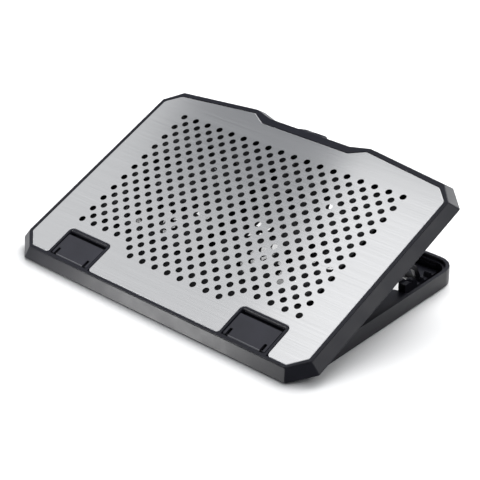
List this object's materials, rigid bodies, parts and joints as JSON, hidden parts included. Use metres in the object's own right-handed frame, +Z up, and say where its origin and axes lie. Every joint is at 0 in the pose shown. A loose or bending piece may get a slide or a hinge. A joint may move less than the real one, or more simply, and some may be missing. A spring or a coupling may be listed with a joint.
{
  "type": "laptop cooling pad",
  "caption": "Tilting laptop cooling stand: perforated metal deck over fans, on a ring base, with folding front stops and notched prop arms.",
  "frame": {"origin": "centre of the whole part's box, at the underside of the rubber feet, with the deck at its steepest setting", "axes": "+Z up, +X to the right of someone at the keyboard, +Y away from them, towards the ports"},
  "size_m": [0.3792, 0.248, 0.1039],
  "materials": {
    "plate": "brushed along the width",
    "black_plastic": "fine satin",
    "grey_black_plastic": "fine satin",
    "fan_plastic": "matt",
    "winding": "copper wire",
    "bronze": "sintered bronze",
    "steel": "plated",
    "screw": "black zinc",
    "rubber": "matt",
    "lead_jacket": "smooth jacket",
    "circuit_board": "solder mask"
  },
  "bodies": {
    "base": {"base_frame": "grey_black_plastic", "foot_front_left": "rubber", "foot_front_right": "rubber", "foot_rear_left": "rubber", "foot_rear_right": "rubber", "tilt_pin_left": "steel", "tilt_pin_right": "steel"},
    "deck": {"top_plate": "plate", "deck_frame": "black_plastic", "bottom_cover": "black_plastic", "control_board": "circuit_board", "dial_mount": "black_plastic", "usb_inlet": "steel", "usb_outlet": "steel", "cover_screw_1": "screw", "cover_screw_2": "screw", "cover_screw_3": "screw", "cover_screw_4": "screw", "cover_screw_5": "screw", "cover_screw_6": "screw", "fan_frame_left": "fan_plastic", "fan_frame_right": "fan_plastic", "fan_stator_left": "winding", "fan_stator_right": "winding", "fan_bush_left": "bronze", "fan_bush_right": "bronze", "fan_lead_left": "lead_jacket", "fan_lead_right": "lead_jacket", "fan_screw_left_1": "screw", "fan_screw_left_2": "screw", "fan_screw_right_1": "screw", "fan_screw_right_2": "screw", "stop_pin_left": "steel", "stop_pin_right": "steel", "prop_pin_left": "steel", "prop_pin_right": "steel"},
    "fan_rotor_left": {"impeller_left": "fan_plastic", "fan_shaft_left": "steel"},
    "fan_rotor_right": {"impeller_right": "fan_plastic", "fan_shaft_right": "steel"},
    "speed_dial": {"speed_dial": "grey_black_plastic"},
    "stop_left": {"stop_flap_left": "black_plastic"},
    "stop_right": {"stop_flap_right": "black_plastic"},
    "prop_left": {"prop_arm_left": "steel"},
    "prop_right": {"prop_arm_right": "steel"}
  },
  "joints": [
    {"name": "deck_tilt", "type": "hinge", "parent": "base", "child": "deck", "pos_m": [0, -0.07765, 0.0094], "axis": [1, 0, 0], "range_deg": [-21.3, 0]},
    {"name": "prop_left_swing", "type": "hinge", "parent": "deck", "child": "prop_left", "pos_m": [-0.159, 0.02491, 0.05673], "axis": [1, 0, 0], "range_deg": [0, 63]},
    {"name": "prop_right_swing", "type": "hinge", "parent": "deck", "child": "prop_right", "pos_m": [0.159, 0.02491, 0.05673], "axis": [1, 0, 0], "range_deg": [0, 63]},
    {"name": "stop_left_fold", "type": "hinge", "parent": "deck", "child": "stop_left", "pos_m": [-0.1125, -0.1128, 0.01324], "axis": [1, 0, 0], "range_deg": [0, 90]},
    {"name": "stop_right_fold", "type": "hinge", "parent": "deck", "child": "stop_right", "pos_m": [0.1125, -0.1128, 0.01324], "axis": [1, 0, 0], "range_deg": [0, 90]},
    {"name": "fan_left_spin", "type": "hinge", "parent": "deck", "child": "fan_rotor_left", "pos_m": [-0.072, 0.00285, 0.06101], "axis": [0, -0.3633, 0.9317], "continuous": true},
    {"name": "fan_right_spin", "type": "hinge", "parent": "deck", "child": "fan_rotor_right", "pos_m": [0.072, 0.00285, 0.06101], "axis": [0, -0.3633, 0.9317], "continuous": true},
    {"name": "speed_dial_turn", "type": "hinge", "parent": "deck", "child": "speed_dial", "pos_m": [-0.031, 0.10161, 0.09951], "axis": [0, -0.3633, 0.9317], "range_deg": [0, 270]}
  ],
  "couplings": [
    {"joint": "prop_left_swing", "follows": "deck_tilt", "ratio": -2.956},
    {"joint": "prop_right_swing", "follows": "deck_tilt", "ratio": -2.956}
  ]
}
